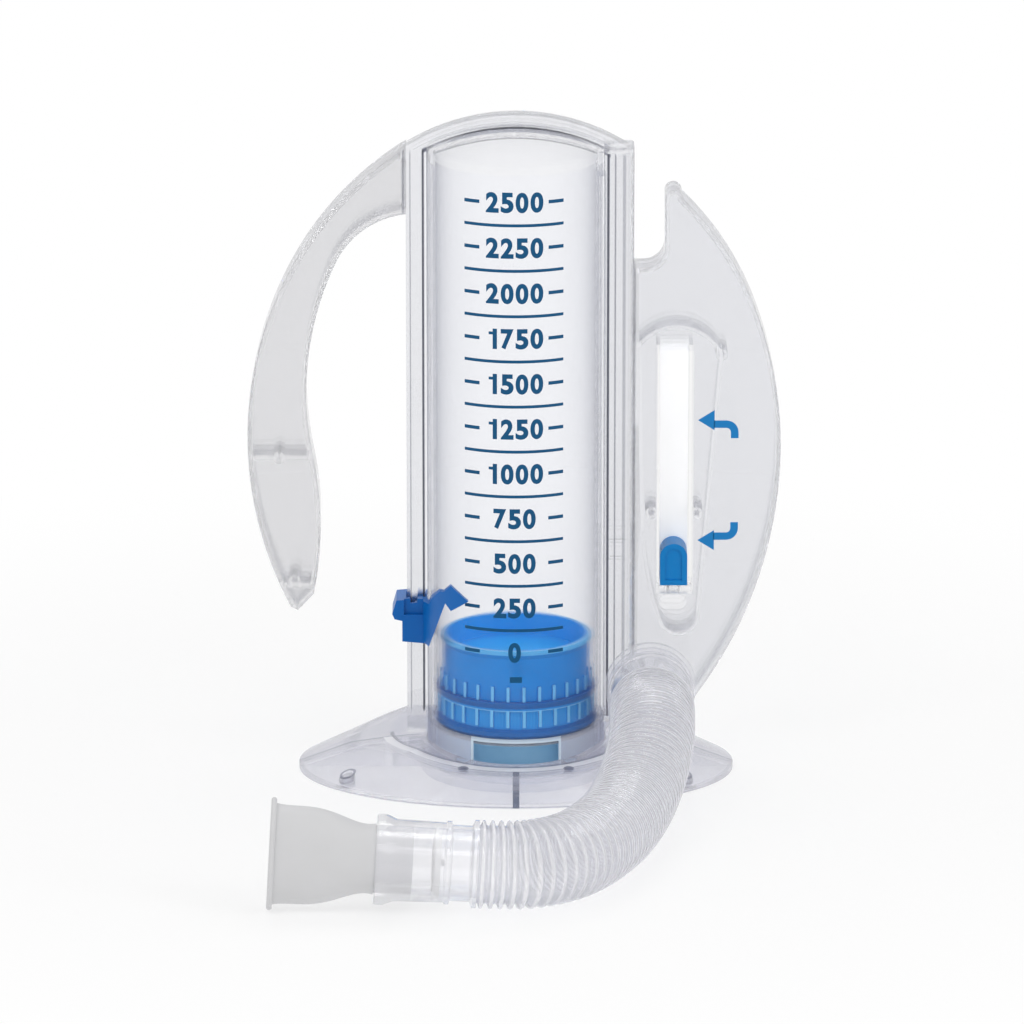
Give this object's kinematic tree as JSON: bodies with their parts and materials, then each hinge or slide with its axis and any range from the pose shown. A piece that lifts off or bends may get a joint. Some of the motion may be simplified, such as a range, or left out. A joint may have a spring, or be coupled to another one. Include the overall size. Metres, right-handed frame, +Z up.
{
  "type": "incentive spirometer",
  "caption": "Hand-held breathing exerciser: clear cylinder with sliding piston, hooked handle, float gauge, goal pointer, and corrugated hose with mouthpiece.",
  "frame": {"origin": "centre of the base on the surface it stands on; the barrel's axis is the Z axis", "axes": "+Z up along the barrel, -Y towards the scale's reader, +X towards the wing and the hose port"},
  "size_m": [0.1799, 0.2244, 0.228],
  "materials": {
    "clear_body": "clear, glossy",
    "clear_base": "clear, glossy",
    "clear_floor": "clear, glossy",
    "white_strip": "matte white",
    "filter_pad": "fine open foam",
    "piston_blue": "translucent blue, semi-gloss",
    "float_blue": "semi-gloss blue",
    "slider_blue": "dark blue, semi-gloss",
    "port_plastic": "clear, glossy",
    "hose_plastic": "translucent, corrugated",
    "cuff_plastic": "translucent",
    "valve_plastic": "matte white",
    "valve_rubber": "soft, translucent white",
    "mouthpiece_plastic": "frosted, translucent"
  },
  "bodies": {
    "housing": {"front_shell": "clear_body", "rear_shell": "clear_body", "handle_front": "clear_body", "handle_rear": "clear_body", "wing_front": "clear_body", "wing_rear": "clear_body", "indicator_strip": "white_strip", "base_foot": "clear_base", "barrel_floor": "clear_floor", "inlet_filter": "filter_pad", "hose_port": "port_plastic", "hose_cuff_port": "cuff_plastic", "hose_tube": "hose_plastic", "hose_cuff_mouth": "cuff_plastic", "valve_seat": "valve_plastic", "valve_flap": "valve_rubber"},
    "piston": {"piston_seal": "piston_blue", "piston_skirt": "piston_blue", "piston_cup": "piston_blue"},
    "float": {"flow_float": "float_blue"},
    "slider": {"goal_slider": "slider_blue"},
    "mouthpiece": {"mouthpiece": "mouthpiece_plastic"}
  },
  "joints": [
    {"name": "piston_slide", "type": "slide", "parent": "housing", "child": "piston", "axis": [0, 0, 1], "range_m": [0, 0.165]},
    {"name": "float_slide", "type": "slide", "parent": "housing", "child": "float", "axis": [0, 0, 1], "range_m": [0, 0.066]},
    {"name": "goal_slide", "type": "slide", "parent": "housing", "child": "slider", "axis": [0, 0, 1], "range_m": [-0.026, 0.128]},
    {"name": "mouthpiece_turn", "type": "hinge", "parent": "housing", "child": "mouthpiece", "pos_m": [-0.0125, -0.1594, 0.01515], "axis": [-0.9983, -0.0088, 0.0568], "continuous": true}
  ]
}
